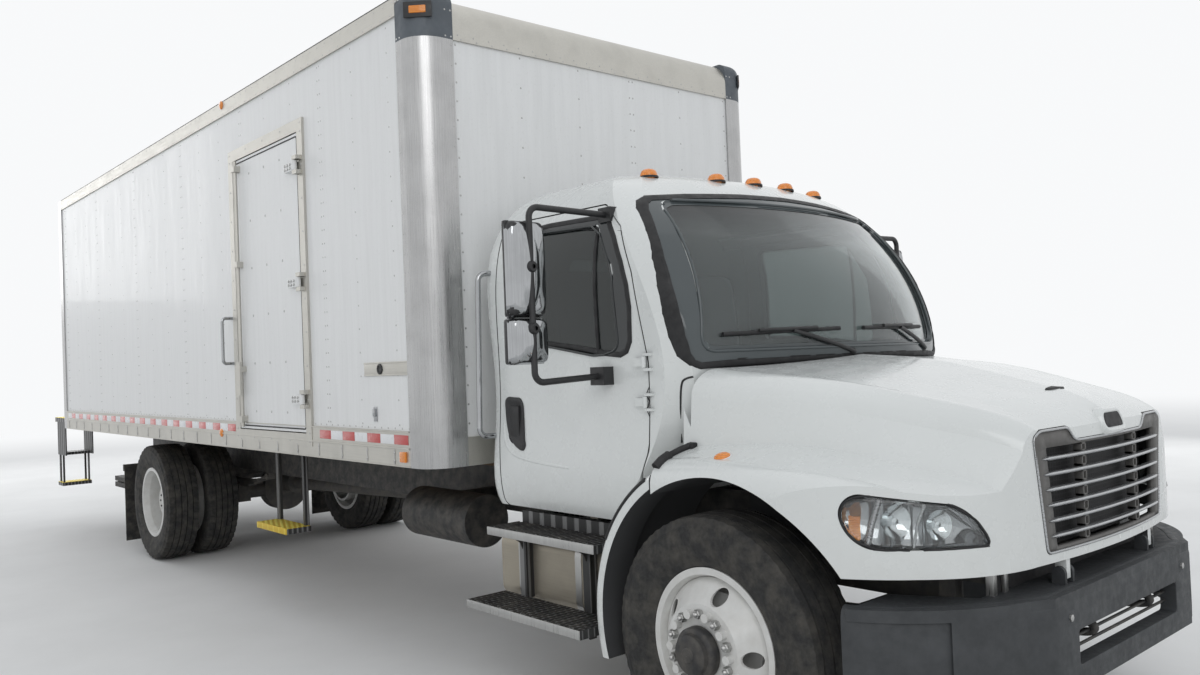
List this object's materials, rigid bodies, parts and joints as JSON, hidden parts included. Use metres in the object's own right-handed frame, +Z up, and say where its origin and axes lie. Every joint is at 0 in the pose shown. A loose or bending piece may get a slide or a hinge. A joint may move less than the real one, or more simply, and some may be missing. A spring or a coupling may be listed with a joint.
{
  "type": "box truck",
  "caption": "Bonneted two-axle box truck with a riveted van body, side door, roll-up rear door and folded tuck-under liftgate; wheels, steering, doors and bonnet move.",
  "frame": {"origin": "on the ground under the middle of the truck's overall box", "axes": "+Z up, the truck faces -Y, its kerb (right) side is -X"},
  "size_m": [2.98, 10.83, 3.567],
  "materials": {
    "frame_black": "satin",
    "cast_grey": "rough",
    "white_paint": "gloss",
    "white_panel": "satin",
    "aluminium": "satin",
    "stainless": "brushed",
    "cap_grey": "satin",
    "bumper_dark": "satin",
    "black_plastic": "matt",
    "tread_black": "satin",
    "glass": "clear",
    "lamp_lens": "clear",
    "amber": "gloss",
    "grille_silver": "satin",
    "interior_grey": "matt",
    "tyre": "matt",
    "wheel_white": "gloss",
    "wood_deck": "matt",
    "rubber": "matt"
  },
  "bodies": {
    "truck": {"frame_rails": "frame_black", "cross_members": "frame_black", "tow_member": "frame_black", "wing_rears": "white_paint", "engine": "cast_grey", "driveline": "cast_grey", "radiator": "frame_black", "front_axle": "cast_grey", "rear_axle": "cast_grey", "exhaust_and_air_tanks": "frame_black", "side_tanks": "aluminium", "cab_steps": "tread_black", "front_bumper": "bumper_dark", "cab_shell": "white_paint", "cab_glass": "glass", "cab_interior": "interior_grey", "marker_lamps": "amber", "grab_handles": "stainless", "box_floor": "wood_deck", "box_wall_right": "white_panel", "box_wall_left": "white_panel", "box_front_wall": "white_panel", "box_roof": "white_panel", "bottom_rails": "aluminium", "top_rails": "aluminium", "corner_posts": "stainless", "corner_caps": "cap_grey", "rear_frame": "stainless", "rollup_door": "white_panel", "side_door_frame": "aluminium", "side_step": "tread_black", "mudflaps": "rubber", "liftgate_frame": "frame_black", "rear_steps": "tread_black"},
    "bonnet": {"hood": "white_paint", "grille": "grille_silver", "headlamps": "lamp_lens"},
    "door_right": {"door_right": "white_paint", "door_glass_right": "glass", "mirror_right": "black_plastic"},
    "door_left": {"door_left": "white_paint", "door_glass_left": "glass", "mirror_left": "black_plastic"},
    "side_door": {"side_door": "white_panel", "side_door_lock": "aluminium"},
    "lift_arms": {"liftgate_arms": "frame_black"},
    "lift_platform": {"liftgate_platform": "frame_black"},
    "knuckle_right": {"knuckle_right": "cast_grey"},
    "knuckle_left": {"knuckle_left": "cast_grey"},
    "front_wheel_right": {"front_wheel_right": "wheel_white", "front_tyre_right": "tyre"},
    "front_wheel_left": {"front_wheel_left": "wheel_white", "front_tyre_left": "tyre"},
    "rear_wheels_right": {"rear_wheels_right": "wheel_white", "rear_tyres_right": "tyre"},
    "rear_wheels_left": {"rear_wheels_left": "wheel_white", "rear_tyres_left": "tyre"}
  },
  "joints": [
    {"name": "bonnet_tilt", "type": "hinge", "parent": "truck", "child": "bonnet", "pos_m": [0, -5.335, 0.8], "axis": [1, 0, 0], "range_deg": [0, 65]},
    {"name": "door_right_swing", "type": "hinge", "parent": "truck", "child": "door_right", "pos_m": [-1.02, -3.899, 1.4], "axis": [0, 0, 1], "range_deg": [0, 65]},
    {"name": "door_left_swing", "type": "hinge", "parent": "truck", "child": "door_left", "pos_m": [1.02, -3.899, 1.4], "axis": [0, 0, -1], "range_deg": [0, 65]},
    {"name": "side_door_swing", "type": "hinge", "parent": "truck", "child": "side_door", "pos_m": [-1.3205, -1.167, 2], "axis": [0, 0, 1], "range_deg": [0, 165]},
    {"name": "liftgate_lower", "type": "hinge", "parent": "truck", "child": "lift_arms", "pos_m": [0, 3.661, 0.64], "axis": [-1, 0, 0], "range_deg": [0, 25]},
    {"name": "liftgate_level", "type": "hinge", "parent": "lift_arms", "child": "lift_platform", "pos_m": [0, 4.561, 0.68], "axis": [-1, 0, 0], "range_deg": [-25, 0]},
    {"name": "steer_right", "type": "hinge", "parent": "truck", "child": "knuckle_right", "pos_m": [-0.878, -4.335, 0.505], "axis": [0, 0, 1], "range_deg": [-36, 36]},
    {"name": "steer_left", "type": "hinge", "parent": "truck", "child": "knuckle_left", "pos_m": [0.878, -4.335, 0.505], "axis": [0, 0, 1], "range_deg": [-36, 36]},
    {"name": "front_roll_right", "type": "hinge", "parent": "knuckle_right", "child": "front_wheel_right", "pos_m": [-1.185, -4.335, 0.505], "axis": [1, 0, 0], "continuous": true},
    {"name": "rear_roll_right", "type": "hinge", "parent": "truck", "child": "rear_wheels_right", "pos_m": [-0.9185, 2.285, 0.505], "axis": [1, 0, 0], "continuous": true},
    {"name": "front_roll_left", "type": "hinge", "parent": "knuckle_left", "child": "front_wheel_left", "pos_m": [1.185, -4.335, 0.505], "axis": [1, 0, 0], "continuous": true},
    {"name": "rear_roll_left", "type": "hinge", "parent": "truck", "child": "rear_wheels_left", "pos_m": [0.9185, 2.285, 0.505], "axis": [1, 0, 0], "continuous": true}
  ],
  "couplings": [
    {"joint": "liftgate_level", "follows": "liftgate_lower", "ratio": -1},
    {"joint": "steer_left", "follows": "steer_right", "ratio": 1}
  ]
}
